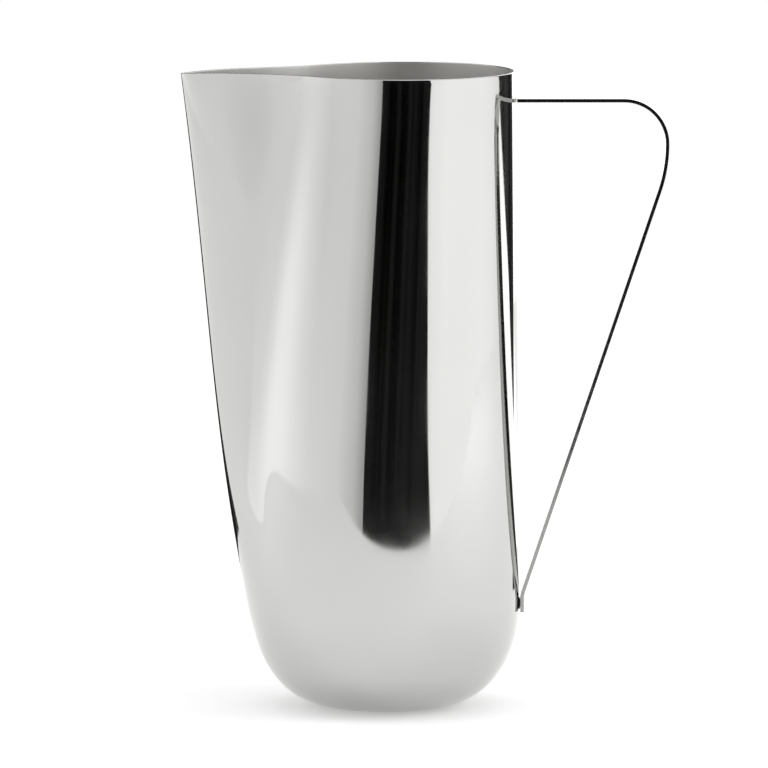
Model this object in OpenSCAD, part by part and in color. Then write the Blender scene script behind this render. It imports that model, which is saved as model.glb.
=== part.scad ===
// Cocktail pitcher: one deep-drawn steel cup with a pressed spout, and a bent strap
// handle that is welded to it at both ends. Millimetres, +Z up.
// The origin is the middle of the flat patch that the cup stands on.
// The spout points to -X and the handle to +X, and the pitcher is symmetric about Y = 0.

/* [Cup] */
// Height from the table to the rim
body_h = 240; // [210:1:270]
// Outer radius of the round cup below the spout
cup_r = 50.3; // [46:0.1:56]
// Thickness of the steel sheet
wall = 0.9; // [0.6:0.1:1.4]
// Radius of the flat patch that the cup stands on
foot_r = 17; // [12:1:24]
// Height of the rounded corner above the flat patch
corner_h = 40; // [32:1:48]
// Fullness of the rounded corner, where 2 is a plain ellipse
corner_power = 2.2; // [2:0.1:3]
// How far the back wall leans in at the rim
back_lean = 1.5; // [0:0.1:3]

/* [Spout] */
// Height at which the spout starts to leave the round cup
spout_z = 29; // [20:1:60]
// How far the spout's tip stands out beyond the cup's radius
spout_reach = 26.4; // [15:0.1:34]
// How far the spout's front line bows out from a straight line
spout_belly = 2.7; // [0:0.1:5]
// How far the tip dips below the rest of the rim
tip_dip = 1; // [0:0.1:3]
// Height above the spout's start over which its front is a round belly and not a fold
belly_h = 57; // [40:1:80]
// Half angle of the spout at the rim, from its tip to where its sides would meet the round wall
// if nothing were rounded off
crease_angle = 26.3; // [25:0.1:28]
// How many degrees narrower that half angle gets on its way down to the belly
crease_narrowing = 9.7; // [8:0.1:11]

/* [Handle] */
// Width of the strap
strap_w = 12; // [10:0.5:20]
// Thickness of the strap
strap_t = 1.4; // [1:0.1:2.5]
// From the rim down to the middle of the strap's level top run
strap_drop = 10.8; // [6:0.1:20]
// From the cup's middle to the outer face of the strap at its farthest
handle_reach = 106.25; // [90:0.25:120]
// Middle radius of the tight bend at the top of the grip
grip_bend_r = 16.3; // [10:0.1:24]
// Middle radius of the gentle bend that leads into the long slope
shoulder_bend_r = 55.8; // [40:0.1:70]
// Middle radius of the bend where the slope turns down along the cup
tab_bend_r = 10; // [6:0.5:20]
// Height above the cup's rounded corner at which the tab starts to bend away
tab_rise = 1; // [0:0.5:30]
// Length of the straight tab below that height
tab_len = 5; // [3:0.5:12]

/* [Welds] */
// Gap between the strap's cut end and the cup, filled by the upper weld
root_gap = 0.3; // [0.1:0.1:1]
// Height of the upper weld bead
bead_h = 1.9; // [1.6:0.1:3]
// Rounding of the upper weld bead's edges
bead_round = 0.4; // [0.2:0.1:0.7]
// Gap between the tab and the cup, filled by the lower weld
tab_gap = 0.4; // [0.2:0.1:1]
// Width of the lower weld
pad_w = 8; // [5:1:9]
// How far the lower weld stays short of the tab's square end
pad_inset = 0.5; // [0:0.1:2]

/* [Hidden] */

// Smoothness of the mesh: steps round half of the cup, rings up the corner, rings up the wall
half_steps = 36;
corner_rings = 11;
wall_rings = 21;
// Uneven spacing of the steps, closer together at the spout
step_power = 1.5;
$fn = 96;
// The welds are thin, so the round seat that they follow is drawn finer
seat_fn = 720;

// How the spout's shape changes with height, as shares of its own height
start_blend_share = 0.04;
belly_share = belly_h / (body_h - spout_z);
belly_floor_share = 0.08;
belly_power = 0.63;
fold_power = 6;
narrow_power = 0.68;
// Roundness of the fold along its front, as a share of the spout's half angle
fold_round_share = 0.333;
// Roundness of the crease between the fold and the round wall, as a share of the fold
crease_round_share = 0.49;
crease_power = 2;
// The fold is pinched tighter close to the lip
lip_pinch_share = 0.68;
pinch_power = 8;
// The sheet is stretched a little at the rim when the spout is pressed
stretch_share = 0.021;
// The sides are drawn in towards the rim only
draw_in_power = 2.2;
// The crease fades into a wider, softer form at the bottom of the spout
crease_spread_angle = 31.3;
dip_power = 4;
lean_power = 1.5;
solve_steps = 20;

// Share of the spout's height that lies below z, from 0 at its start to 1 at the rim
function spout_share(z) = (z - spout_z) / (body_h - spout_z);

// A ramp that leaves zero smoothly
function soft_ramp(u, blend) = (u + sqrt(u * u + blend * blend)) / (1 + sqrt(1 + blend * blend));

// A ramp that fades away below zero
function fading_ramp(u, blend) = ln(1 + exp(u / blend)) / ln(1 + exp(1 / blend));

// How far the front line stands out beyond the cup's radius at a height
function front_push(z) =
    let (u = spout_share(z))
    spout_reach * soft_ramp(u, start_blend_share)
    + spout_belly * pow(sin(180 * pow(max(u, 0), belly_power)), 2);

// How far the back wall leans in at a height
function lean_at(z) = back_lean * pow(max(z - corner_h, 0) / (body_h - corner_h), lean_power);

// Length of the cup from spout to handle at a height, before the bottom corner is rounded
function length_at(z) = 2 * cup_r + front_push(z) - lean_at(z);

// Share of the spout's reach that is left at an angle from its tip
function fold_share(angle, z) =
    let (
        u = min(max(spout_share(z), belly_floor_share), 1),
        narrowed = crease_angle - crease_narrowing * pow(1 - u, narrow_power),
        half = narrowed + crease_spread_angle * pow(1 - u, fold_power),
        pinch = 1 - lip_pinch_share * pow(u, pinch_power),
        round_angle = crease_angle * fold_round_share * pinch * (1 + pow(belly_share / u, fold_power)),
        full = sqrt(half * half + round_angle * round_angle) - round_angle,
        run = (sqrt(angle * angle + round_angle * round_angle) - round_angle) / full
    )
    pow(fading_ramp(1 - run, crease_round_share), crease_power);

// Angles from the spout's tip round to the middle of the back
half_angles = [for (i = [0:half_steps]) 180 * pow(i / half_steps, step_power)];

// Distance from the round part's middle to the wall
function reach_at(angle, z, r) = r + (length_at(z) - 2 * r) * fold_share(angle, z);

// Half of the way round the cup, measured along the wall
function half_girth(z, r) =
    let (pts = [for (a = half_angles) reach_at(a, z, r) * [-cos(a), sin(a)]])
    sum_steps(pts, len(pts) - 1);
function sum_steps(pts, i) = i == 0 ? 0 : norm(pts[i] - pts[i - 1]) + sum_steps(pts, i - 1);

// Near the rim the way round stays nearly that of the cup, so that the spout draws the sides
// in. Lower down the sheet is stretched into the belly instead
cup_half_girth = cup_r * sum_steps([for (a = half_angles) [-cos(a), sin(a)]], half_steps);
function pressed_half_girth(z) =
    let (
        u = min(max(spout_share(z), 0), 1),
        kept = cup_half_girth * (1 + stretch_share * u)
    )
    kept + (half_girth(z, cup_r) - kept) * pow(1 - u, draw_in_power);

// Radius of the round part at a height, found by halving the range that holds it
function round_r(z) = halve(z, pressed_half_girth(z), cup_r / 2, cup_r, solve_steps);
function halve(z, goal, low, high, steps) =
    let (mid = (low + high) / 2)
    steps == 0 ? mid :
    half_girth(z, mid) > goal
        ? halve(z, goal, low, mid, steps - 1)
        : halve(z, goal, mid, high, steps - 1);

// Middle of the round part
function round_x(z, r) = cup_r - lean_at(z) - r;

// The rounded corner: height and share of the full radius at a turn from 0 to 90 degrees
function corner_z(turn) = corner_h * (1 - pow(cos(turn), 2 / corner_power));
function corner_share(turn) =
    (foot_r + (cup_r - foot_r) * pow(sin(turn), 2 / corner_power)) / cup_r;

// Each ring is its height and the share of the full radius that the corner leaves
wall_steps = [for (i = [1:wall_rings]) corner_h + (body_h - corner_h) * i / wall_rings];
rings = concat(
    [for (i = [0:corner_rings])
        let (turn = 90 * i / corner_rings)
        [corner_z(turn), corner_share(turn)]],
    [for (z = wall_steps) [z, 1]]
);
all_angles = concat(half_angles, [for (i = [half_steps - 1:-1:1]) 360 - half_angles[i]]);
around = len(all_angles);

// How far a point near the tip dips when the lip is drawn down
function dip_at(angle, z) =
    tip_dip * pow(fold_share(angle, z), dip_power) * pow(max(spout_share(z), 0), fold_power);

function ring_points(z, share) =
    let (r = round_r(z), mid = round_x(z, r))
    [for (a = all_angles)
        let (turn = min(a, 360 - a), reach = reach_at(turn, z, r))
        [share * (mid - reach * cos(a)), share * reach * sin(a), z - dip_at(turn, z)]];

outer = [for (ring = rings) ring_points(ring[0], ring[1])];
top = len(rings) - 1;

// Direction out of the steel at a point of the outer surface
function out_normal(i, j) =
    i == 0 ? [0, 0, -1] :
    let (
        sideways = outer[i][(j + 1) % around] - outer[i][(j + around - 1) % around],
        upwards = outer[min(i + 1, top)][j] - outer[i - 1][j],
        raw = cross(upwards, sideways),
        level = i == top ? [raw[0], raw[1], 0] : raw
    )
    level / norm(level);

inner = [for (i = [0:top])
    [for (j = [0:around - 1]) outer[i][j] - wall * out_normal(i, j)]];

function flat_list(grid) = [for (ring = grid) for (p = ring) p];
function at(i, j, side) = side * (top + 1) * around + i * around + j % around;

cup_faces = concat(
    [for (i = [0:top - 1]) for (j = [0:around - 1]) [at(i, j, 0), at(i, j + 1, 0), at(i + 1, j + 1, 0)]],
    [for (i = [0:top - 1]) for (j = [0:around - 1]) [at(i, j, 0), at(i + 1, j + 1, 0), at(i + 1, j, 0)]],
    [for (i = [0:top - 1]) for (j = [0:around - 1]) [at(i + 1, j + 1, 1), at(i, j + 1, 1), at(i, j, 1)]],
    [for (i = [0:top - 1]) for (j = [0:around - 1]) [at(i + 1, j, 1), at(i + 1, j + 1, 1), at(i, j, 1)]],
    [for (j = [0:around - 1]) [at(top, j, 0), at(top, j + 1, 0), at(top, j + 1, 1)]],
    [for (j = [0:around - 1]) [at(top, j, 0), at(top, j + 1, 1), at(top, j, 1)]],
    [[for (j = [around - 1:-1:0]) at(0, j, 0)]],
    [[for (j = [0:around - 1]) at(0, j, 1)]]
);

// The cup's back wall where the strap meets it
strap_z = body_h - strap_drop;
joint_r = round_r(strap_z);
joint_x = round_x(strap_z, joint_r);
strap_end_x = joint_x + joint_r + root_gap;

// Middle line of the strap: level run, tight bend, gentle bend, long slope, bend, tab
grip_x = handle_reach - strap_t / 2;
tab_z = corner_h + tab_rise;
grip_z = strap_z - grip_bend_r;
tab_x = cup_r + tab_gap + strap_t / 2;
grip_mid = [grip_x - grip_bend_r, grip_z];
shoulder_mid = [grip_x - shoulder_bend_r, grip_z];
tab_mid = [tab_x + tab_bend_r, tab_z];
mids = shoulder_mid - tab_mid;
slope = asin((shoulder_bend_r + tab_bend_r) / norm(mids)) + atan(mids[0] / mids[1]);

// One side of the strap, offset from its middle line. An arc's points are its middle, its
// radius and its angles, and the tab bends the other way, so its radius shrinks with the offset
bend_steps = 20;
slope_steps = 8;
function arc(mid, r, from, to, steps) =
    [for (i = [0:steps]) let (a = from + (to - from) * i / steps) mid + r * [cos(a), sin(a)]];
function strap_side(out) = concat(
    [[strap_end_x, strap_z + out]],
    arc(grip_mid, grip_bend_r + out, 90, 0, bend_steps),
    arc(shoulder_mid, shoulder_bend_r + out, 0, -slope, slope_steps),
    arc(tab_mid, tab_bend_r - out, 180 - slope, 180, slope_steps),
    [[tab_x + out, tab_z - tab_len]]
);
function turned_round(list) = [for (i = [len(list) - 1:-1:0]) list[i]];

// Drawn sheet cup with its spout
module body_shell() {
    color("gainsboro")
        polyhedron(points = concat(flat_list(outer), flat_list(inner)), faces = cup_faces);
}

// Flat strap, bent once over the grip and once at the tab
module handle_strap() {
    color("dimgray")
        translate([0, strap_w / 2, 0])
            rotate([90, 0, 0])
                linear_extrude(height = strap_w)
                    polygon(concat(strap_side(strap_t / 2), turned_round(strap_side(-strap_t / 2))));
}

// Bead that fills the space between the strap's square end and the round wall
module upper_weld() {
    bead_l = joint_r / 2;
    color("silver")
        difference() {
            translate([strap_end_x, strap_w / 2, strap_z])
                rotate([90, 0, 0])
                    linear_extrude(height = strap_w)
                        union() {
                            translate([-bead_l, -bead_h / 2])
                                square([bead_l - bead_round, bead_h]);
                            translate([-bead_l, bead_round - bead_h / 2])
                                square([bead_l, bead_h - 2 * bead_round]);
                            for (side = [-1, 1])
                                translate([-bead_round, side * (bead_h / 2 - bead_round)])
                                    circle(r = bead_round);
                        }
            translate([joint_x, 0, strap_z - bead_h])
                cylinder(r = joint_r, h = 2 * bead_h, $fn = seat_fn);
        }
}

// Thin pad of weld between the tab and the round wall
module lower_weld() {
    pad_z = tab_z - tab_len + pad_inset;
    pad_h = tab_len - pad_inset;
    color("silver")
        difference() {
            translate([cup_r / 2, -pad_w / 2, pad_z])
                cube([tab_x - strap_t / 2 - cup_r / 2, pad_w, pad_h]);
            translate([0, 0, pad_z - pad_h])
                cylinder(r = cup_r, h = 3 * pad_h, $fn = seat_fn);
        }
}

body_shell();
handle_strap();
upper_weld();
lower_weld();
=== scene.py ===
"""Cocktail pitcher: a drawn steel cup with a pressed spout, and a flat strap handle welded on.

Every size is in metres. The origin is the middle of the flat patch that the cup stands on,
the spout points to -X, the handle to +X, and the rim is up.
"""

import math

import bmesh
import bpy
from bpy.props import FloatProperty, IntProperty, PointerProperty, StringProperty
from mathutils import Matrix, Vector


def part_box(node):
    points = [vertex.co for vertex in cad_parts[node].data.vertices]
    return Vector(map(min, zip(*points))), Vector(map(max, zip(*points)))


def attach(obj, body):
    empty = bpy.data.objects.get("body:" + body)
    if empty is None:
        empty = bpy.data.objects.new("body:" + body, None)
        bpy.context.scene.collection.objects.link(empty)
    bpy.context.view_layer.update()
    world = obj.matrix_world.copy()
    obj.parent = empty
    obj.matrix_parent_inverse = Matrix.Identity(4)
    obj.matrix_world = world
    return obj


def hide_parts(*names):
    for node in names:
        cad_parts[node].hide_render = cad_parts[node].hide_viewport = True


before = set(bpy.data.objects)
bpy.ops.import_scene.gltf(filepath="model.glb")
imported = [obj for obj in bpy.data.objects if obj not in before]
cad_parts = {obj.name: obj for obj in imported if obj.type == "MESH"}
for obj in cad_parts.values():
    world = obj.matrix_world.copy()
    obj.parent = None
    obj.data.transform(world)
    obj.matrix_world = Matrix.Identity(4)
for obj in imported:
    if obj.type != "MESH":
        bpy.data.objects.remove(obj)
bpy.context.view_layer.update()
CUP_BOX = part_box("body_shell")
STRAP_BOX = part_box("handle_strap")

bl_info = {
    "name": "Cocktail pitcher",
    "version": (1, 0, 0),
    "blender": (4, 5, 0),
    "location": "View3D > Sidebar > Pitcher",
    "description": "Models a drawn steel cocktail pitcher with a welded strap handle",
    "category": "Object",
}

MM = 0.001
BODY = "root"


class PITCHER_PG_cup(bpy.types.PropertyGroup):
    """Sizes of the drawn cup."""

    height: FloatProperty(
        name="Height", description="From the table to the rim",
        default=CUP_BOX[1].z, unit="LENGTH", precision=4)
    radius: FloatProperty(
        name="Radius", description="Outer radius of the round cup below the spout",
        default=50.3 * MM, unit="LENGTH", precision=4)
    wall: FloatProperty(
        name="Wall", description="Thickness of the steel sheet",
        default=0.9 * MM, unit="LENGTH", precision=5)
    foot_radius: FloatProperty(
        name="Foot radius", description="Radius of the flat patch that the cup stands on",
        default=17 * MM, unit="LENGTH", precision=4)
    corner_height: FloatProperty(
        name="Corner height", description="Height of the rounded corner above the flat patch",
        default=40 * MM, unit="LENGTH", precision=4)
    corner_fullness: FloatProperty(
        name="Corner fullness", description="Fullness of the rounded corner, where 2 is an ellipse",
        default=2.2)
    back_lean: FloatProperty(
        name="Back lean", description="How far the back wall leans in at the rim",
        default=1.5 * MM, unit="LENGTH", precision=5)
    lip_rounding: FloatProperty(
        name="Lip rounding", description="Radius left on the rim's edges by polishing",
        default=0.3 * MM, unit="LENGTH", precision=5)


class PITCHER_PG_spout(bpy.types.PropertyGroup):
    """Sizes of the spout that is pressed into the cup."""

    start: FloatProperty(
        name="Start", description="Height at which the spout starts to leave the round cup",
        default=29 * MM, unit="LENGTH", precision=4)
    reach: FloatProperty(
        name="Reach", description="How far the tip stands out beyond the cup's radius",
        default=26.4 * MM, unit="LENGTH", precision=4)
    belly: FloatProperty(
        name="Belly", description="How far the front line bows out from a straight line",
        default=2.7 * MM, unit="LENGTH", precision=4)
    belly_height: FloatProperty(
        name="Belly height", description="Height above the start over which the front is round",
        default=57 * MM, unit="LENGTH", precision=4)
    tip_dip: FloatProperty(
        name="Tip dip", description="How far the tip dips below the rest of the rim",
        default=1 * MM, unit="LENGTH", precision=5)
    crease_angle: FloatProperty(
        name="Crease angle", description="Degrees from the tip to where the spout's sides would "
        "meet the round wall at the rim if nothing were rounded off",
        default=26.3)
    crease_narrowing: FloatProperty(
        name="Crease narrowing", description="Degrees that this angle loses on the way down",
        default=9.7)


class PITCHER_PG_strap(bpy.types.PropertyGroup):
    """Sizes of the strap handle."""

    width: FloatProperty(
        name="Width", description="Width of the strap",
        default=STRAP_BOX[1].y - STRAP_BOX[0].y, unit="LENGTH", precision=4)
    thickness: FloatProperty(
        name="Thickness", description="Thickness of the strap",
        default=1.4 * MM, unit="LENGTH", precision=5)
    drop: FloatProperty(
        name="Drop", description="From the rim down to the middle of the level top run",
        default=10.8 * MM, unit="LENGTH", precision=4)
    reach: FloatProperty(
        name="Reach", description="From the cup's middle to the outer face at its farthest",
        default=STRAP_BOX[1].x, unit="LENGTH", precision=4)
    grip_radius: FloatProperty(
        name="Grip bend", description="Middle radius of the tight bend at the top of the grip",
        default=16.3 * MM, unit="LENGTH", precision=4)
    shoulder_radius: FloatProperty(
        name="Shoulder bend", description="Middle radius of the gentle bend into the slope",
        default=55.8 * MM, unit="LENGTH", precision=4)
    tab_radius: FloatProperty(
        name="Tab bend", description="Middle radius of the bend where the slope turns down",
        default=10 * MM, unit="LENGTH", precision=4)
    tab_rise: FloatProperty(
        name="Tab rise", description="Height above the rounded corner at which the tab bends away",
        default=1 * MM, unit="LENGTH", precision=4)
    tab_length: FloatProperty(
        name="Tab length", description="Length of the straight tab",
        default=5 * MM, unit="LENGTH", precision=4)
    edge_rounding: FloatProperty(
        name="Edge rounding", description="Radius left on the strap's edges by deburring",
        default=0.12 * MM, unit="LENGTH", precision=5)


class PITCHER_PG_welds(bpy.types.PropertyGroup):
    """Sizes of the two welds."""

    root_gap: FloatProperty(
        name="Root gap", description="Gap between the strap's cut end and the cup",
        default=0.3 * MM, unit="LENGTH", precision=5)
    bead_height: FloatProperty(
        name="Bead height", description="Height of the upper weld bead",
        default=1.9 * MM, unit="LENGTH", precision=5)
    tab_gap: FloatProperty(
        name="Tab gap", description="Gap between the tab and the cup",
        default=0.4 * MM, unit="LENGTH", precision=5)
    pad_width: FloatProperty(
        name="Pad width", description="Width of the lower weld",
        default=8 * MM, unit="LENGTH", precision=4)
    pad_inset: FloatProperty(
        name="Pad inset", description="How far the lower weld stays short of the tab's end",
        default=0.5 * MM, unit="LENGTH", precision=5)
    ripple_pitch: FloatProperty(
        name="Ripple pitch", description="Spacing of the ripples that a weld pool leaves",
        default=1.2 * MM, unit="LENGTH", precision=5)
    ripple_height: FloatProperty(
        name="Ripple height", description="Height of those ripples after buffing",
        default=0.05 * MM, unit="LENGTH", precision=6)


class PITCHER_PG_finish(bpy.types.PropertyGroup):
    """Colours of the metal, as sRGB hex values."""

    polished: StringProperty(
        name="Polished steel", description="Mirror polished outside of the cup", default="C6C6C4")
    # The satin colour is lighter than the polished one: painted light for the shaded inside of the
    # cup
    satin: StringProperty(
        name="Satin steel", description="Satin inside of the cup", default="D9D8D5")
    strip: StringProperty(
        name="Strap steel", description="Polished strip of the handle", default="C6C6C4")
    # The sheared edge colour is partly the duller slit edge and partly painted shade for the dim
    # table that the edges mirror
    sheared: StringProperty(
        name="Sheared edge", description="Slit edges of the strip", default="A09F9D")
    weld: StringProperty(
        name="Weld metal", description="Buffed filler of the upper weld", default="D6D4CF")
    # The weld scale colour is painted shade: it darkens the lower weld for the black crevice behind
    # the tab
    scale: StringProperty(
        name="Weld painted shade", description="Dark colour painted on the lower weld as the shade of the crevice behind the tab", default="2B2926")


class PITCHER_PG_mesh(bpy.types.PropertyGroup):
    """How finely the pieces are divided."""

    cup_steps: IntProperty(
        name="Cup steps", description="Divisions round the cup", default=192)
    foot_rings: IntProperty(
        name="Foot rings", description="Rings across the flat patch", default=6)
    corner_rings: IntProperty(
        name="Corner rings", description="Rings up the rounded corner", default=38)
    wall_rings: IntProperty(
        name="Wall rings", description="Rings up the wall", default=116)


GROUPS = {
    "pitcher_cup": PITCHER_PG_cup,
    "pitcher_spout": PITCHER_PG_spout,
    "pitcher_strap": PITCHER_PG_strap,
    "pitcher_welds": PITCHER_PG_welds,
    "pitcher_finish": PITCHER_PG_finish,
    "pitcher_mesh": PITCHER_PG_mesh,
}

# How the spout's section changes with height, as shares of its own height
START_BLEND = 0.04
BELLY_FLOOR = 0.08
BELLY_POWER = 0.63
FOLD_POWER = 6
# Roundness of the fold's front as a share of the crease angle, and of its crease as a share
# of the fold
FOLD_ROUND = 0.333
CREASE_ROUND = 0.49
CREASE_POWER = 2
CREASE_SPREAD = 31.3
NARROW_POWER = 0.68
# The fold is pinched tighter close to the lip, and the sheet is stretched a little there
LIP_PINCH = 0.68
PINCH_POWER = 8
STRETCH = 0.021
# The sides are drawn in towards the rim, where the spout takes up more of the way round
DRAW_IN_POWER = 2.2
DIP_POWER = 4
LEAN_POWER = 1.5
# Uneven spacing round the cup, closer together at the spout
STEP_POWER = 1.5
GIRTH_STEPS = 36
SOLVE_STEPS = 24


class CupForm:
    """Where the press leaves each point of a round blank."""

    def __init__(self, cup, spout):
        self.cup = cup
        self.spout = spout
        self.turns = [180 * (i / GIRTH_STEPS) ** STEP_POWER for i in range(GIRTH_STEPS + 1)]
        circle = [self.plan(1.0, turn) for turn in self.turns]
        self.cup_half_girth = cup.radius * self.path_length(circle)
        self.radii = {}

    @staticmethod
    def plan(reach, turn):
        angle = math.radians(turn)
        return Vector((-reach * math.cos(angle), reach * math.sin(angle)))

    @staticmethod
    def path_length(points):
        return sum((b - a).length for a, b in zip(points, points[1:]))

    @staticmethod
    def soft_ramp(share, blend):
        """A ramp that leaves zero smoothly."""
        return (share + math.hypot(share, blend)) / (1 + math.hypot(1, blend))

    @staticmethod
    def fading_ramp(share, blend):
        """A ramp that fades away below zero."""
        return math.log1p(math.exp(share / blend)) / math.log1p(math.exp(1 / blend))

    def spout_share(self, z):
        return (z - self.spout.start) / (self.cup.height - self.spout.start)

    def front_push(self, z):
        """How far the front line stands out beyond the cup's radius."""
        share = self.spout_share(z)
        bow = math.sin(math.pi * max(share, 0) ** BELLY_POWER) ** 2
        return self.spout.reach * self.soft_ramp(share, START_BLEND) + self.spout.belly * bow

    def lean(self, z):
        """How far the back wall leans in."""
        corner = self.cup.corner_height
        return self.cup.back_lean * (max(z - corner, 0) / (self.cup.height - corner)) ** LEAN_POWER

    def length(self, z):
        return 2 * self.cup.radius + self.front_push(z) - self.lean(z)

    def fold_share(self, turn, z):
        """Share of the spout's reach that is left at an angle from its tip."""
        share = min(max(self.spout_share(z), BELLY_FLOOR), 1)
        belly = self.spout.belly_height / (self.cup.height - self.spout.start)
        crease = self.spout.crease_angle
        narrowing = self.spout.crease_narrowing * (1 - share) ** NARROW_POWER
        half = crease - narrowing + CREASE_SPREAD * (1 - share) ** FOLD_POWER
        pinch = 1 - LIP_PINCH * share ** PINCH_POWER
        rounding = crease * FOLD_ROUND * pinch * (1 + (belly / share) ** FOLD_POWER)
        full = math.hypot(half, rounding) - rounding
        run = (math.hypot(turn, rounding) - rounding) / full
        return self.fading_ramp(1 - run, CREASE_ROUND) ** CREASE_POWER

    def reach(self, turn, z, radius):
        return radius + (self.length(z) - 2 * radius) * self.fold_share(turn, z)

    def half_girth(self, z, radius):
        return self.path_length([self.plan(self.reach(t, z, radius), t) for t in self.turns])

    def goal_half_girth(self, z):
        """Near the rim the way round stays that of the blank, and lower down the sheet is
        stretched into the belly instead of drawing the sides in."""
        share = min(max(self.spout_share(z), 0), 1)
        kept = self.cup_half_girth * (1 + STRETCH * share)
        full = self.half_girth(z, self.cup.radius)
        return kept + (full - kept) * (1 - share) ** DRAW_IN_POWER

    def round_radius(self, z):
        """Radius of the round part."""
        key = round(z, 7)
        if key not in self.radii:
            goal = self.goal_half_girth(z)
            low, high = self.cup.radius / 2, self.cup.radius
            for _ in range(SOLVE_STEPS):
                middle = (low + high) / 2
                if self.half_girth(z, middle) > goal:
                    high = middle
                else:
                    low = middle
            self.radii[key] = (low + high) / 2
        return self.radii[key]

    def round_centre(self, z):
        return self.cup.radius - self.lean(z) - self.round_radius(z)

    def corner(self, share):
        """Height and share of the full radius at a share of the way round the corner."""
        turn = math.radians(90 * share)
        power = 2 / self.cup.corner_fullness
        foot = self.cup.foot_radius / self.cup.radius
        height = self.cup.corner_height * (1 - max(math.cos(turn), 0) ** power)
        return height, foot + (1 - foot) * math.sin(turn) ** power

    def pressed(self, point):
        """Where a point of the blank ends up. The blank's corner is a cone."""
        turn = 180 * (abs(math.atan2(point.y, -point.x)) / math.pi) ** STEP_POWER
        if point.z >= self.cup.corner_height:
            z, share = point.z, 1.0
        elif point.z > 0:
            z, share = self.corner(point.z / self.cup.corner_height)
        else:
            z, share = 0.0, math.hypot(point.x, point.y) / self.cup.radius
        radius = self.round_radius(z)
        along, across = self.plan(self.reach(turn, z, radius), turn)
        risen = max(self.spout_share(z), 0) ** FOLD_POWER
        dip = self.spout.tip_dip * self.fold_share(turn, z) ** DIP_POWER * risen
        side = 1 if point.y >= 0 else -1
        return Vector((share * (self.round_centre(z) + along), side * share * across, z - dip))


class StrapLine:
    """The strap's middle line, worked out from the cup and the strap's sizes."""

    def __init__(self, form, strap, welds):
        cup = form.cup
        self.top = cup.height - strap.drop
        self.joint_radius = form.round_radius(self.top)
        self.joint_x = form.round_centre(self.top)
        self.end_x = self.joint_x + self.joint_radius + welds.root_gap
        grip_x = strap.reach - strap.thickness / 2
        grip_z = self.top - strap.grip_radius
        self.tab_x = cup.radius + welds.tab_gap + strap.thickness / 2
        self.tab_z = cup.corner_height + strap.tab_rise
        self.grip = Vector((grip_x - strap.grip_radius, 0, grip_z))
        self.shoulder = Vector((grip_x - strap.shoulder_radius, 0, grip_z))
        self.tab = Vector((self.tab_x + strap.tab_radius, 0, self.tab_z))
        across = self.shoulder - self.tab
        both = strap.shoulder_radius + strap.tab_radius
        self.slope = math.asin(both / across.length) + math.atan(across.x / across.z)
        lean = Vector((math.cos(self.slope), 0, -math.sin(self.slope)))
        self.slope_top = self.shoulder + strap.shoulder_radius * lean
        self.slope_foot = self.tab - strap.tab_radius * lean


def linear_colour(hex_code):
    """An sRGB hex value as linear red, green, blue and alpha."""
    parts = [int(hex_code[i:i + 2], 16) / 255 for i in (0, 2, 4)]
    return [p / 12.92 if p <= 0.04045 else ((p + 0.055) / 1.055) ** 2.4 for p in parts] + [1.0]


def add_node(tree, kind, links=(), **settings):
    """Adds a node. links are (input, socket or value) pairs, and settings are its attributes."""
    node = tree.nodes.new(kind)
    for name, value in settings.items():
        setattr(node, name, value)
    for socket, value in links:
        if isinstance(value, bpy.types.NodeSocket):
            tree.links.new(value, node.inputs[socket])
        else:
            node.inputs[socket].default_value = value
    return node


def new_material(name):
    """A material with an empty node tree, and its tree."""
    material = bpy.data.materials.new(name)
    material.use_nodes = True
    material.node_tree.nodes.clear()
    return material, material.node_tree


def finish_material(tree, surface):
    add_node(tree, "ShaderNodeOutputMaterial", [("Surface", surface)])


def stretched_noise(tree, spacing, detail=2.0, roughness=0.5):
    """Noise on Object coordinates with its own real spacing in metres along X, Y and Z."""
    place = add_node(tree, "ShaderNodeTexCoord").outputs["Object"]
    scale = [1 / s for s in spacing]
    scaled = add_node(tree, "ShaderNodeMapping", [("Vector", place), ("Scale", scale)]).outputs[0]
    return add_node(tree, "ShaderNodeTexNoise", [
        ("Vector", scaled), ("Scale", 1.0), ("Detail", detail), ("Roughness", roughness),
    ]).outputs["Fac"]


def spread(tree, value, low, high, source=(0.3, 0.7)):
    """Maps a noise value to a range."""
    return add_node(tree, "ShaderNodeMapRange", [
        ("Value", value), ("From Min", source[0]), ("From Max", source[1]),
        ("To Min", low), ("To Max", high),
    ]).outputs["Result"]


def bump(tree, height, distance, normal=None):
    """Bump of a real height in metres, on top of another normal if there is one."""
    links = [("Height", height), ("Distance", distance), ("Strength", 1.0)]
    if normal is not None:
        links.append(("Normal", normal))
    return add_node(tree, "ShaderNodeBump", links).outputs["Normal"]


def tinted(tree, hex_code, shade, amount):
    """The metal's colour, a little darker or lighter with a noise value."""
    base = linear_colour(hex_code)
    dark = [c * (1 - amount) for c in base[:3]] + [1.0]
    return add_node(tree, "ShaderNodeMix", [
        ("Factor", shade), ("A", dark), ("B", base),
    ], data_type="RGBA").outputs["Result"]


# The cup's pits: one in each cell of the polish, with this many cells to the metre, and the
# shares of a cell between which a pit's edge rises
PIT_DENSITY = 60.0
PIT_EDGE = (0.004, 0.011)


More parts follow.
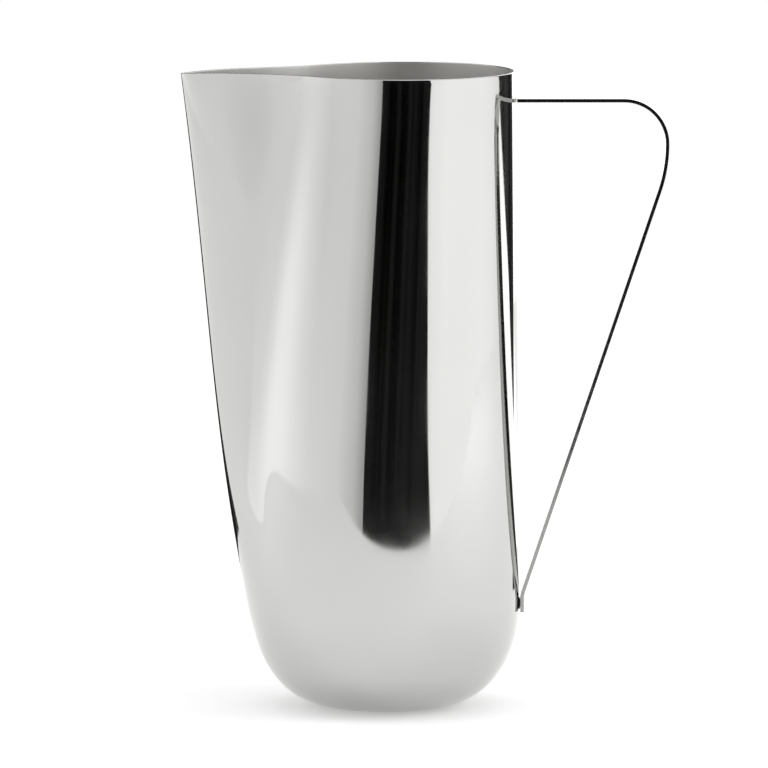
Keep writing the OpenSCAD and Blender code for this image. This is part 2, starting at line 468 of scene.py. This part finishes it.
def mirror_polished_stainless(hex_code):
    """18/8 stainless sheet, drawn and then mirror polished: sharp reflections with the faint
    waviness of the press, hair-fine buffing lines and a few tiny pits."""
    material, tree = new_material("mirror_polished_stainless")
    waves = stretched_noise(tree, (26 * MM, 26 * MM, 60 * MM), detail=1.0)
    hairlines = stretched_noise(tree, (6 * MM, 6 * MM, 0.16 * MM), detail=3.0)
    wiped = stretched_noise(tree, (18 * MM, 18 * MM, 30 * MM), detail=4.0)
    place = add_node(tree, "ShaderNodeTexCoord").outputs["Object"]
    cells = add_node(tree, "ShaderNodeTexVoronoi", [("Vector", place), ("Scale", PIT_DENSITY)])
    pits = spread(tree, cells.outputs["Distance"], 0.0, 1.0, source=PIT_EDGE)
    normal = bump(tree, waves, 0.045 * MM)
    normal = bump(tree, hairlines, 0.0002 * MM, normal)
    normal = bump(tree, pits, 0.01 * MM, normal)
    shader = add_node(tree, "ShaderNodeBsdfPrincipled", [
        ("Base Color", tinted(tree, hex_code, wiped, 0.05)), ("Metallic", 1.0),
        ("Roughness", spread(tree, wiped, 0.03, 0.075)), ("Normal", normal),
    ])
    finish_material(tree, shader.outputs[0])
    return material


def satin_stainless_painted_light(hex_code):
    """The same sheet inside the cup, left as it was drawn and scoured: a soft grey sheen with
    lines round the cup. Its colour is lighter than the outside's as painted light, which offsets
    the shade of the light bouncing round inside the cup."""
    material, tree = new_material("satin_scoured_stainless_painted_light")
    lines = stretched_noise(tree, (9 * MM, 9 * MM, 0.22 * MM), detail=3.0)
    cloud = stretched_noise(tree, (12 * MM, 12 * MM, 12 * MM), detail=4.0)
    normal = bump(tree, lines, 0.004 * MM)
    shader = add_node(tree, "ShaderNodeBsdfPrincipled", [
        ("Base Color", tinted(tree, hex_code, cloud, 0.1)), ("Metallic", 1.0),
        ("Roughness", spread(tree, lines, 0.48, 0.56)), ("Normal", normal),
    ])
    finish_material(tree, shader.outputs[0])
    return material


def linished_stainless(hex_code):
    """The sheared rim, run over a fine belt and buffed: brighter and a little softer than the
    wall, with lines along the edge."""
    material, tree = new_material("belt_linished_rim")
    lines = stretched_noise(tree, (0.5 * MM, 0.5 * MM, 0.1 * MM), detail=2.0)
    shader = add_node(tree, "ShaderNodeBsdfPrincipled", [
        ("Base Color", tinted(tree, hex_code, lines, 0.06)), ("Metallic", 1.0),
        ("Roughness", spread(tree, lines, 0.12, 0.22)), ("Normal", bump(tree, lines, 0.001 * MM)),
    ])
    finish_material(tree, shader.outputs[0])
    return material


def polished_strip(hex_code):
    """Cold-rolled stainless strip, buffed along its length after bending."""
    material, tree = new_material("buffed_stainless_strip")
    lines = stretched_noise(tree, (8 * MM, 0.25 * MM, 8 * MM), detail=3.0)
    waves = stretched_noise(tree, (14 * MM, 14 * MM, 14 * MM), detail=1.0)
    normal = bump(tree, lines, 0.0004 * MM, bump(tree, waves, 0.012 * MM))
    shader = add_node(tree, "ShaderNodeBsdfPrincipled", [
        ("Base Color", tinted(tree, hex_code, waves, 0.06)), ("Metallic", 1.0),
        ("Roughness", spread(tree, lines, 0.05, 0.11)), ("Normal", normal),
    ])
    finish_material(tree, shader.outputs[0])
    return material


def slit_edge_dulled_and_shaded(hex_code):
    """The strip's slit edges, deburred but not buffed as bright as its faces. Their colour is
    also darkened as painted shade for the dim table that they mirror.
    """
    material, tree = new_material("slit_strip_edge_dull_and_painted_shade")
    lines = stretched_noise(tree, (1.5 * MM, 1.5 * MM, 1.5 * MM), detail=3.0)
    shader = add_node(tree, "ShaderNodeBsdfPrincipled", [
        ("Base Color", tinted(tree, hex_code, lines, 0.1)), ("Metallic", 1.0),
        ("Roughness", spread(tree, lines, 0.08, 0.16)), ("Normal", bump(tree, lines, 0.002 * MM)),
    ])
    finish_material(tree, shader.outputs[0])
    return material


def painted_shade_weld(hex_code):
    """Filler deep in the gap behind the tab, where no buffing wheel reaches. Its dark colour is
    painted shade that stands in for the black crevice between the tab and the cup.
    """
    material, tree = new_material("weld_in_painted_crevice_shade")
    grain = stretched_noise(tree, (0.4 * MM, 0.4 * MM, 0.4 * MM), detail=4.0)
    shader = add_node(tree, "ShaderNodeBsdfPrincipled", [
        ("Base Color", tinted(tree, hex_code, grain, 0.3)), ("Metallic", 0.5),
        ("Roughness", spread(tree, grain, 0.45, 0.65)), ("Normal", bump(tree, grain, 0.01 * MM)),
    ])
    finish_material(tree, shader.outputs[0])
    return material


def buffed_weld(hex_code):
    """Stainless filler, buffed but not ground flush: pale, slightly rough, with fine pitting."""
    material, tree = new_material("buffed_weld_bead")
    grain = stretched_noise(tree, (0.5 * MM, 0.5 * MM, 0.5 * MM), detail=4.0)
    shader = add_node(tree, "ShaderNodeBsdfPrincipled", [
        ("Base Color", tinted(tree, hex_code, grain, 0.12)), ("Metallic", 1.0),
        ("Roughness", spread(tree, grain, 0.22, 0.38)), ("Normal", bump(tree, grain, 0.01 * MM)),
    ])
    finish_material(tree, shader.outputs[0])
    return material


def as_piece(bm, name, materials, node):
    """Turns a bmesh into an object that stands for a node of the frame."""
    for face in bm.faces:
        face.smooth = True
    mesh = bpy.data.meshes.new(name)
    bm.to_mesh(mesh)
    bm.free()
    for material in materials:
        mesh.materials.append(material)
    piece = bpy.data.objects.new(name, mesh)
    bpy.context.scene.collection.objects.link(piece)
    # Large faces keep their own direction, so that rounded edges don't bend the reflections
    weighted = piece.modifiers.new("face_weights", "WEIGHTED_NORMAL")
    weighted.weight = 100
    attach(piece, BODY)
    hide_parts(node)
    return piece


# Points of the blank closer than this are one point
MERGE_DISTANCE = 0.0001 * MM


def round_blank(cup, mesh):
    """A round cup blank: flat foot, a cone for the corner and a straight wall."""
    bm = bmesh.new()
    corners = [
        (0, 0, 0),
        (-cup.foot_radius, 0, 0),
        (-cup.radius, 0, cup.corner_height),
        (-cup.radius, 0, cup.height),
    ]
    verts = [bm.verts.new(c) for c in corners]
    edges = [bm.edges.new(pair) for pair in zip(verts, verts[1:])]
    for edge, rings in zip(edges, (mesh.foot_rings, mesh.corner_rings, mesh.wall_rings)):
        bmesh.ops.subdivide_edges(bm, edges=[edge], cuts=rings - 1)
    bmesh.ops.spin(
        bm, geom=bm.verts[:] + bm.edges[:], cent=(0, 0, 0), axis=(0, 0, 1), dvec=(0, 0, 0),
        angle=math.tau, steps=mesh.cup_steps, use_merge=True, use_duplicate=False)
    bmesh.ops.remove_doubles(bm, verts=bm.verts[:], dist=MERGE_DISTANCE)
    bmesh.ops.recalc_face_normals(bm, faces=bm.faces[:])
    return bm


# Material slots of the cup after its outside, which is slot 0
INSIDE, RIM = 1, 2
RIM_SEGMENTS = 4


def build_cup(context):
    cup = context.scene.pitcher_cup
    form = CupForm(cup, context.scene.pitcher_spout)
    bm = round_blank(cup, context.scene.pitcher_mesh)
    for vert in bm.verts:
        vert.co = form.pressed(vert.co)
    bm.normal_update()

    outer_rim = [e for e in bm.edges if e.is_boundary]
    rim_verts = {v for e in outer_rim for v in e.verts}
    inward = {}
    for vert in bm.verts:
        out = vert.normal.copy()
        if vert in rim_verts:
            out.z = 0
        inward[vert] = -cup.wall * out.normalized()
    copied = bmesh.ops.duplicate(bm, geom=bm.verts[:] + bm.edges[:] + bm.faces[:])
    partner = copied["vert_map"]
    for vert, offset in inward.items():
        partner[vert].co += offset
    inner_faces = [g for g in copied["geom"] if isinstance(g, bmesh.types.BMFace)]
    bmesh.ops.reverse_faces(bm, faces=inner_faces)
    for face in inner_faces:
        face.material_index = INSIDE
    known = set(outer_rim)
    inner_rim = [e for e in bm.edges if e.is_boundary and e not in known]
    lip = bmesh.ops.bridge_loops(bm, edges=outer_rim + inner_rim)["faces"]
    for face in lip:
        face.material_index = RIM
    rounded = bmesh.ops.bevel(
        bm, geom=outer_rim + inner_rim, offset=cup.lip_rounding, affect="EDGES",
        segments=RIM_SEGMENTS, profile=0.5, material=-1)
    for face in rounded["faces"]:
        face.material_index = RIM
    finish = context.scene.pitcher_finish
    # The inside's lighter colour is painted light for the shaded inside of the cup
    return as_piece(
        bm, "cup",
        [mirror_polished_stainless(finish.polished), satin_stainless_painted_light(finish.satin),
         linished_stainless(finish.polished)],
        "body_shell")


def extruded(bm, face, offset, cuts):
    """Draws a face along a straight run and returns its new end."""
    for _ in range(cuts):
        made = bmesh.ops.extrude_face_region(bm, geom=[face])["geom"]
        face = next(g for g in made if isinstance(g, bmesh.types.BMFace))
        bmesh.ops.translate(bm, verts=face.verts[:], vec=offset / cuts)
    return face


def bent(bm, face, centre, angle, steps):
    """Draws a face round a bend about the Y axis through centre and returns its new end."""
    made = bmesh.ops.spin(
        bm, geom=[face] + face.edges[:] + face.verts[:], cent=centre, axis=(0, 1, 0),
        dvec=(0, 0, 0), angle=angle, steps=steps, use_merge=False, use_duplicate=False)
    return next(g for g in made["geom_last"] if isinstance(g, bmesh.types.BMFace))


# Material slots of the strap, and how nearly a slit edge faces sideways
BUFFED, SLIT = 0, 1
SLIT_FACING = 0.99
# Divisions along the strap: top run, grip bend, shoulder bend, slope, tab bend and tab
RUN_CUTS, GRIP_CUTS, SHOULDER_CUTS = 6, 36, 14
SLOPE_CUTS, TAB_BEND_CUTS, TAB_CUTS = 16, 10, 2
SHARP_ANGLE = 60
EDGE_SEGMENTS = 3


def build_strap(context):
    strap = context.scene.pitcher_strap
    form = CupForm(context.scene.pitcher_cup, context.scene.pitcher_spout)
    line = StrapLine(form, strap, context.scene.pitcher_welds)
    bm = bmesh.new()
    stand = Matrix.Translation((line.end_x, 0, line.top)) @ Matrix.Rotation(math.pi / 2, 4, "Y")
    sized = Matrix.Diagonal((strap.thickness, strap.width, 1, 1))
    bmesh.ops.create_grid(bm, x_segments=1, y_segments=1, size=0.5, matrix=stand @ sized)
    end = bm.faces[:][0]
    end = extruded(bm, end, Vector((line.grip.x - line.end_x, 0, 0)), RUN_CUTS)
    end = bent(bm, end, line.grip, math.pi / 2, GRIP_CUTS)
    end = bent(bm, end, line.shoulder, line.slope, SHOULDER_CUTS)
    end = extruded(bm, end, line.slope_foot - line.slope_top, SLOPE_CUTS)
    end = bent(bm, end, line.tab, -line.slope, TAB_BEND_CUTS)
    extruded(bm, end, Vector((0, 0, -strap.tab_length)), TAB_CUTS)
    buried = [f for f in bm.faces if all(len(e.link_faces) > 2 for e in f.edges)]
    bmesh.ops.delete(bm, geom=buried, context="FACES_ONLY")
    bmesh.ops.recalc_face_normals(bm, faces=bm.faces[:])
    sharp = [e for e in bm.edges if e.calc_face_angle(0) > math.radians(SHARP_ANGLE)]
    bmesh.ops.bevel(
        bm, geom=sharp, offset=strap.edge_rounding, affect="EDGES",
        segments=EDGE_SEGMENTS, profile=0.5, material=-1)
    bm.normal_update()
    for face in bm.faces:
        face.material_index = SLIT if abs(face.normal.y) > SLIT_FACING else BUFFED
    finish = context.scene.pitcher_finish
    # The slit edges' colour is partly painted shade for the dim table that they mirror
    return as_piece(
        bm, "strap_handle", [polished_strip(finish.strip), slit_edge_dulled_and_shaded(finish.sheared)],
        "handle_strap")


WELD_SIDES = 24
UPPER_WELD_RINGS, LOWER_WELD_RINGS = 60, 40
# Height of a weld at its very end, as a share of its height in the middle
WELD_END_SHARE = 0.75
# How far a weld runs into the cup's wall
FUSED = 0.1 * MM


def weld_bar(half_width, rings):
    """A bar along Y of radius 1, from -half_width to half_width."""
    bm = bmesh.new()
    upright = Matrix.Rotation(math.pi / 2, 4, "X")
    bmesh.ops.create_cone(
        bm, cap_ends=True, cap_tris=False, segments=WELD_SIDES, radius1=1, radius2=1,
        depth=2 * half_width, matrix=upright)
    long_edges = [e for e in bm.edges if abs(e.verts[0].co.y - e.verts[1].co.y) > half_width]
    bmesh.ops.subdivide_edges(bm, edges=long_edges, cuts=rings)
    return bm


def laid_weld(bm, half_width, seat, middle_z, half_height, welds):
    """Lays a bar of radius 1 into a seat: seat(y) gives the X where it starts and ends."""
    for vert in bm.verts:
        y = vert.co.y
        low, high = seat(y)
        to_end = max(half_width - abs(y), 0) / (2 * half_height)
        swell = math.sqrt(min(to_end, 1)) * (1 - WELD_END_SHARE) + WELD_END_SHARE
        ripple = welds.ripple_height * abs(math.sin(math.pi * y / welds.ripple_pitch))
        vert.co.x = (low + high) / 2 + vert.co.x * (high - low) / 2
        vert.co.z = middle_z + vert.co.z * (half_height * swell - ripple)
    bmesh.ops.recalc_face_normals(bm, faces=bm.faces[:])


def build_welds(context):
    welds = context.scene.pitcher_welds
    strap = context.scene.pitcher_strap
    cup = context.scene.pitcher_cup
    form = CupForm(cup, context.scene.pitcher_spout)
    line = StrapLine(form, strap, welds)
    finish = context.scene.pitcher_finish

    def upper_seat(y):
        wall = line.joint_x + math.sqrt(line.joint_radius ** 2 - y ** 2)
        return wall - FUSED, line.end_x

    half = strap.width / 2
    bm = weld_bar(half, UPPER_WELD_RINGS)
    laid_weld(bm, half, upper_seat, line.top, welds.bead_height / 2, welds)
    upper = as_piece(
        bm, "upper_weld_bead", [buffed_weld(finish.weld)], "upper_weld")

    def lower_seat(y):
        wall = math.sqrt(cup.radius ** 2 - y ** 2)
        return wall - FUSED, line.tab_x - strap.thickness / 2

    half = welds.pad_width / 2
    pad_height = strap.tab_length - welds.pad_inset
    bm = weld_bar(half, LOWER_WELD_RINGS)
    laid_weld(bm, half, lower_seat, line.tab_z - pad_height / 2, pad_height / 2, welds)
    # The lower weld's dark colour is painted shade for the crevice behind the tab
    lower = as_piece(
        bm, "lower_weld_pad", [painted_shade_weld(finish.scale)], "lower_weld")
    return upper, lower


# The stage. Angles are in degrees seen from above, from the camera round to the handle's side
TENT_RADIUS = 1.5
TENT_LOW, TENT_HIGH = -0.9, 1.3
TENT_STEPS = 180
# Brightness of the tent's white cloth, where 1 is white: angle, down by the table, higher up
TENT_TONES = (
    (-180, 1.2, 1.2), (-150, 1.45, 1.45), (-120, 1.55, 1.5), (-105, 1.48, 1.38),
    (-90, 1.33, 1.12), (-75, 1.2, 1.0), (-60, 1.13, 1.04), (-45, 1.07, 1.04),
    (-30, 0.84, 0.86), (-22, 0.55, 0.55), (26, 1.32, 1.38), (46, 1.45, 1.53),
    (66, 1.46, 1.5), (86, 1.5, 1.47), (100, 1.45, 1.38), (112, 1.3, 1.2), (116, 1.9, 1.3),
    (150, 1.9, 1.8), (180, 1.9, 1.9),
)
# Heights between which the lower tones go over into the higher ones
TENT_BLEND = (0.0, 0.3)
# The unlit gap that the camera looks through, just inside the tent: the angles of its edges at
# the top and at the foot, the heights of both, and how far below the foot the edges go on
GAP_RADIUS = 0.96 * TENT_RADIUS
GAP_TOP, GAP_FOOT = (-21.2, 25.6), (-20.4, 41)
GAP_TOP_Z, GAP_FOOT_Z = 0.24, -0.15
GAP_OVERRUN_SHARE = 1.4
GAP_ROWS, GAP_COLUMNS = 40, 24
GAP_TONES = (0.0005, 0.014)
GAP_HAZE = 0.014
# Black cards that draw the dark edges on the metal: where each one starts and ends, seen from
# above, and how high its lower edge hangs at the two ends
CARDS = (
    ((-0.31, 0.2), (-0.02, 0.37), (0.0, 0.0)),
    ((0.46, 0.66), (1.03, 0.98), (0.015, 0.025)),
    ((1.33, 0.57), (1.03, 0.98), (0.14, 0.025)),
)
CARD_TOP = 1.3
CARD_TONES = (0.006, 0.05)
# Corners of the two sheets that lie on the table: a strongly lit patch and a narrow dark one
LIT_PATCH = ((0.33, 0.34), (1.4, 0.76), (0.0, 0.55), (1.0, 1.4))
LIT_TONE = 1.7
DARK_PATCH = ((0.242, 0.247), (0.206, 0.278), (0.408, 0.468), (0.398, 0.474))
PATCH_LIFT = 0.5 * MM
# The white table: half its width, how far it reaches to the front and to the back, and how far
# it is turned
TABLE_HALF, TABLE_FRONT, TABLE_BACK = 1.6, 0.7, 1.5
TABLE_TURN = 20
# How much the table is lifted to white at the pitcher, far to the left and far to the right, how
# far out the lift starts to change, and how far to each side it counts as left or right
TABLE_LIFT = (0.31, 0.43, 0.51)
LIFT_START = 0.2
LIFT_SIDE = 0.6
# Lamps: name, angle, distance, height, size, power in watts
SOFTBOXES = (
    ("top_softbox", 0, 0.0, 1.7, 1.6, 8.0),
    ("right_softbox", 80, 1.25, 0.75, 0.9, 5.2),
    ("left_softbox", -118, 1.3, 0.75, 0.9, 2.2),
)
WORLD_FILL = 0.6

# Camera: the photograph's middle in metres, distance, pitch, and pixels of its 768 per metre
AIM = Vector((-0.0006, 0, 0.12185))
CAMERA_RANGE = 3.5245
CAMERA_PITCH = 6.7
PHOTO_SCALE, PHOTO_SIZE = 2660, 768
SENSOR = 36


def mirrored_sheet(name, rows, columns, placed, material):
    """A sheet of the stage that is seen in the metal only: it neither lights the object nor
    hides the plain background. placed(across, up) gives a point for two shares."""
    bm = bmesh.new()
    bmesh.ops.create_grid(bm, x_segments=columns, y_segments=rows, size=0.5)
    for vert in bm.verts:
        vert.co = placed(vert.co.x + 0.5, vert.co.y + 0.5)
    mesh = bpy.data.meshes.new(name)
    bm.to_mesh(mesh)
    bm.free()
    mesh.materials.append(material)
    sheet = bpy.data.objects.new(name, mesh)
    bpy.context.scene.collection.objects.link(sheet)
    sheet.visible_camera = False
    sheet.visible_diffuse = False
    sheet.visible_shadow = False


def round_the_object(angle, radius, z):
    turn = math.radians(angle)
    return Vector((radius * math.sin(turn), -radius * math.cos(turn), z))


def tent_point(across, up):
    z = TENT_LOW + up * (TENT_HIGH - TENT_LOW)
    return round_the_object(360 * across - 180, TENT_RADIUS, z)


def gap_point(across, up):
    z = TENT_LOW + up * (TENT_HIGH - TENT_LOW)
    share = min(max((GAP_TOP_Z - z) / (GAP_TOP_Z - GAP_FOOT_Z), 0), GAP_OVERRUN_SHARE)
    left, right = [top + share * (foot - top) for top, foot in zip(GAP_TOP, GAP_FOOT)]
    return round_the_object(left + across * (right - left), GAP_RADIUS, z)


def between(corners):
    """A function that places points between four corners: two low ones and two high ones."""
    low_start, low_end, high_start, high_end = [Vector(corner) for corner in corners]
    return lambda across, up: low_start.lerp(low_end, across).lerp(
        high_start.lerp(high_end, across), up)


def tent_ramp(tree, share, tones):
    """Brightness round the tent, from (angle, tone) pairs, as a share of the highest tone."""
    ramp = add_node(tree, "ShaderNodeValToRGB", [("Fac", share)])
    stops = ramp.color_ramp.elements
    while len(stops) < len(tones):
        stops.new(0.5)
    for stop, (angle, tone) in zip(stops, tones):
        stop.position = (angle + 180) / 360
        stop.color = [tone] * 3 + [1.0]
    return ramp.outputs["Color"]


def tent_material():
    """White cloth lit from behind, brighter where a lamp stands behind it."""
    material, tree = new_material("lit_tent_cloth")
    place = add_node(tree, "ShaderNodeTexCoord").outputs["Object"]
    parts = add_node(tree, "ShaderNodeSeparateXYZ", [("Vector", place)])
    back = add_node(tree, "ShaderNodeMath", [
        (0, parts.outputs["Y"]), (1, -1.0)], operation="MULTIPLY").outputs[0]
    angle = add_node(tree, "ShaderNodeMath", [
        (0, parts.outputs["X"]), (1, back)], operation="ARCTAN2").outputs[0]
    share = spread(tree, angle, 0.0, 1.0, source=(-math.pi, math.pi))
    highest = max(max(low, high) for _, low, high in TENT_TONES)
    low_tones = tent_ramp(tree, share, [(a, low / highest) for a, low, _ in TENT_TONES])
    high_tones = tent_ramp(tree, share, [(a, high / highest) for a, _, high in TENT_TONES])
    height = spread(tree, parts.outputs["Z"], 0.0, 1.0, source=TENT_BLEND)
    tone = add_node(tree, "ShaderNodeMix", [
        ("Factor", height), ("A", low_tones), ("B", high_tones)], data_type="RGBA")
    glow = add_node(tree, "ShaderNodeEmission", [
        ("Color", tone.outputs["Result"]), ("Strength", highest)])
    finish_material(tree, glow.outputs[0])
    return material


def unlit_room():
    """The dark room behind the camera, with a few upright things just visible in it."""
    material, tree = new_material("unlit_room")
    shapes = stretched_noise(tree, (0.2, 0.2, 2.5), detail=2.0)
    place = add_node(tree, "ShaderNodeTexCoord").outputs["Object"]
    height = add_node(tree, "ShaderNodeSeparateXYZ", [("Vector", place)]).outputs["Z"]
    haze = spread(tree, height, GAP_HAZE, 0.0, source=(GAP_FOOT_Z, GAP_TOP_Z))
    tone = add_node(tree, "ShaderNodeMath", [
        (0, spread(tree, shapes, *GAP_TONES, source=(0.4, 0.65))), (1, haze)]).outputs[0]
    glow = add_node(tree, "ShaderNodeEmission", [("Strength", tone)])
    finish_material(tree, glow.outputs[0])
    return material


def black_card():
    """Card faced with black velvet, brushed in upright streaks."""
    material, tree = new_material("black_velvet_card")
    streaks = stretched_noise(tree, (0.12, 0.12, 3.0), detail=1.0)
    tone = spread(tree, streaks, *CARD_TONES, source=(0.4, 0.62))
    glow = add_node(tree, "ShaderNodeEmission", [("Strength", tone)])
    finish_material(tree, glow.outputs[0])
    return material


def lit_laminate():
    """The part of the table on which a lamp shines from behind."""
    material, tree = new_material("lit_laminate")
    glow = add_node(tree, "ShaderNodeEmission", [("Strength", LIT_TONE)])
    finish_material(tree, glow.outputs[0])
    return material


def shown_rays(tree, rays):
    """1 for a ray that shows the stage: seen directly, mirrored or passed through."""
    mirrored = add_node(tree, "ShaderNodeMath", [
        (0, rays.outputs["Is Camera Ray"]), (1, rays.outputs["Is Glossy Ray"]),
    ], operation="MAXIMUM").outputs[0]
    return add_node(tree, "ShaderNodeMath", [
        (0, mirrored), (1, rays.outputs["Is Transmission Ray"]),
    ], operation="MAXIMUM").outputs[0]


def table_material():
    """Matt white laminate. It looks as white as the background wherever no shadow falls."""
    material, tree = new_material("matt_white_laminate")
    rays = add_node(tree, "ShaderNodeLightPath")
    seen = shown_rays(tree, rays)
    matt = add_node(tree, "ShaderNodeBsdfDiffuse", [("Color", linear_colour("F2F2F2"))])
    place = add_node(tree, "ShaderNodeTexCoord").outputs["Object"]
    distance = add_node(tree, "ShaderNodeVectorMath", [
        ("Vector", place)], operation="LENGTH").outputs["Value"]
    side = add_node(tree, "ShaderNodeSeparateXYZ", [("Vector", place)]).outputs["X"]
    near, left, right = TABLE_LIFT
    far = spread(tree, side, left, right, source=(-LIFT_SIDE, LIFT_SIDE))
    share = spread(tree, distance, near, far, source=(LIFT_START, TENT_RADIUS))
    lift = add_node(
        tree, "ShaderNodeMath", [(0, seen), (1, share)], operation="MULTIPLY").outputs[0]
    glow = add_node(tree, "ShaderNodeEmission", [("Strength", lift)])
    both = add_node(tree, "ShaderNodeAddShader", [(0, matt.outputs[0]), (1, glow.outputs[0])])
    finish_material(tree, both.outputs[0])
    return material


def build_world(context):
    world = bpy.data.worlds.new("white_studio")
    context.scene.world = world
    world.use_nodes = True
    tree = world.node_tree
    tree.nodes.clear()
    seen = shown_rays(tree, add_node(tree, "ShaderNodeLightPath"))
    strength = spread(tree, seen, WORLD_FILL, 1.0, source=(0.0, 1.0))
    sky = add_node(tree, "ShaderNodeBackground", [
        ("Color", linear_colour("FFFFFF")), ("Strength", strength)])
    add_node(tree, "ShaderNodeOutputWorld", [("Surface", sky.outputs[0])])


def build_camera(context):
    data = bpy.data.cameras.new("camera")
    data.sensor_width = SENSOR
    data.lens = SENSOR * PHOTO_SCALE * CAMERA_RANGE / PHOTO_SIZE
    camera = bpy.data.objects.new("camera", data)
    pitch = math.radians(CAMERA_PITCH)
    back = Vector((0, -math.cos(pitch), math.sin(pitch)))
    camera.location = AIM + CAMERA_RANGE * back
    camera.rotation_euler = (-back).to_track_quat("-Z", "Y").to_euler()
    context.scene.collection.objects.link(camera)
    context.scene.camera = camera


def build_stage(context):
    bm = bmesh.new()
    bmesh.ops.create_grid(bm, x_segments=1, y_segments=1, size=0.5)
    for vert in bm.verts:
        depth = (vert.co.y + 0.5) * (TABLE_BACK + TABLE_FRONT) - TABLE_FRONT
        vert.co = (2 * TABLE_HALF * vert.co.x, depth, 0)
    bmesh.ops.rotate(
        bm, verts=bm.verts[:], matrix=Matrix.Rotation(math.radians(TABLE_TURN), 3, "Z"))
    mesh = bpy.data.meshes.new("table")
    bm.to_mesh(mesh)
    bm.free()
    mesh.materials.append(table_material())
    table = bpy.data.objects.new("table", mesh)
    context.scene.collection.objects.link(table)

    mirrored_sheet("tent", 1, TENT_STEPS, tent_point, tent_material())
    mirrored_sheet("camera_gap", GAP_ROWS, GAP_COLUMNS, gap_point, unlit_room())
    velvet = black_card()
    for number, (start, end, hang) in enumerate(CARDS):
        corners = [(*start, hang[0]), (*end, hang[1]), (*start, CARD_TOP), (*end, CARD_TOP)]
        mirrored_sheet(f"card_{number + 1}", 1, 1, between(corners), velvet)
    for name, patch, material in (
            ("lit_patch", LIT_PATCH, lit_laminate()), ("dark_patch", DARK_PATCH, velvet)):
        corners = [(*corner, PATCH_LIFT) for corner in patch]
        mirrored_sheet(name, 1, 1, between(corners), material)

    for name, angle, distance, height, size, power in SOFTBOXES:
        lamp = bpy.data.lights.new(name, "AREA")
        lamp.shape = "SQUARE"
        lamp.size = size
        lamp.energy = power
        box = bpy.data.objects.new(name, lamp)
        box.location = round_the_object(angle, distance, height)
        box.rotation_euler = box.location.to_track_quat("Z", "Y").to_euler()
        box.visible_camera = False
        box.visible_glossy = False
        context.scene.collection.objects.link(box)

    build_world(context)
    build_camera(context)
    context.scene.view_settings.view_transform = "Standard"


class PITCHER_OT_stage(bpy.types.Operator):
    """Set up the table, the light tent, the lamps and the camera"""

    bl_idname = "pitcher.stage"
    bl_label = "Set up the stage"

    def execute(self, context):
        build_stage(context)
        return {"FINISHED"}


class PITCHER_OT_cup(bpy.types.Operator):
    """Spin a round blank, press the spout into it and give it its wall"""

    bl_idname = "pitcher.cup"
    bl_label = "Make the cup"

    def execute(self, context):
        build_cup(context)
        return {"FINISHED"}


class PITCHER_OT_strap(bpy.types.Operator):
    """Draw the flat strap along its bends"""

    bl_idname = "pitcher.strap"
    bl_label = "Make the strap handle"

    def execute(self, context):
        build_strap(context)
        return {"FINISHED"}


class PITCHER_OT_welds(bpy.types.Operator):
    """Lay the upper and the lower weld"""

    bl_idname = "pitcher.welds"
    bl_label = "Lay the welds"

    def execute(self, context):
        build_welds(context)
        return {"FINISHED"}


OPERATORS = (PITCHER_OT_stage, PITCHER_OT_cup, PITCHER_OT_strap, PITCHER_OT_welds)


class PITCHER_PT_sidebar(bpy.types.Panel):
    """Lists the pitcher's pieces and sizes"""

    bl_idname = "PITCHER_PT_sidebar"
    bl_label = "Cocktail pitcher"
    bl_space_type = "VIEW_3D"
    bl_region_type = "UI"
    bl_category = "Pitcher"

    def draw(self, context):
        for operator in OPERATORS:
            self.layout.operator(operator.bl_idname)
        for group in GROUPS:
            box = self.layout.box()
            values = getattr(context.scene, group)
            for name in values.bl_rna.properties.keys():
                if name not in ("rna_type", "name"):
                    box.prop(values, name)


def register():
    for group in GROUPS.values():
        bpy.utils.register_class(group)
    for name, group in GROUPS.items():
        setattr(bpy.types.Scene, name, PointerProperty(type=group))
    for operator in OPERATORS:
        bpy.utils.register_class(operator)
    bpy.utils.register_class(PITCHER_PT_sidebar)


def unregister():
    bpy.utils.unregister_class(PITCHER_PT_sidebar)
    for operator in reversed(OPERATORS):
        bpy.utils.unregister_class(operator)
    for name, group in GROUPS.items():
        delattr(bpy.types.Scene, name)
        bpy.utils.unregister_class(group)


def main():
    register()
    bpy.ops.pitcher.stage()
    bpy.ops.pitcher.cup()
    bpy.ops.pitcher.strap()
    bpy.ops.pitcher.welds()


if __name__ == "__main__":
    main()
